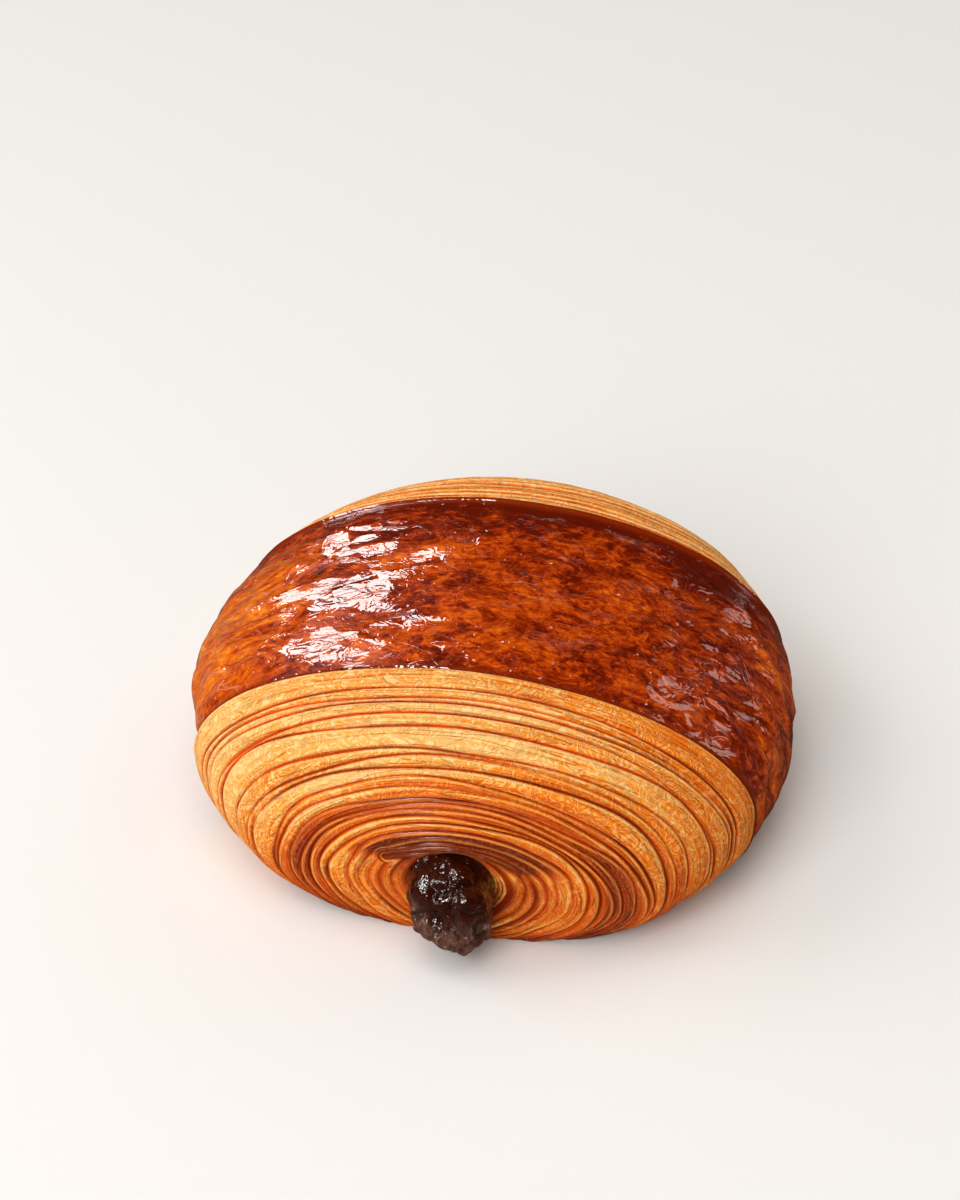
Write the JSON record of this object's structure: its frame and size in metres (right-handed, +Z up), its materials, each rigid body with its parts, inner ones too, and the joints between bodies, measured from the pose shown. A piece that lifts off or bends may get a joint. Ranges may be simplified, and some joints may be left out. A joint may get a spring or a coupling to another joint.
{
  "type": "pain au chocolat",
  "caption": "Rolled laminated pastry with a glossy outer wrap, layered cut ends and a dark filling running through it, resting on its flat base.",
  "frame": {"origin": "middle of the underside, on the surface that it rests on", "axes": "+X across the roll, its widest way; +Y along the roll's axis, away from the end whose filling sags to the table; +Z up"},
  "size_m": [0.1106, 0.101, 0.0455],
  "materials": {
    "baked_dough": "baked laminated dough, egg washed and glossy brown on the wrap, matte and pale on the cut layers",
    "dark_filling": "melted and set dark chocolate, glossy above and duller below"
  },
  "bodies": {
    "root": {"pastry": "baked_dough", "filling": "dark_filling"}
  },
  "joints": []
}
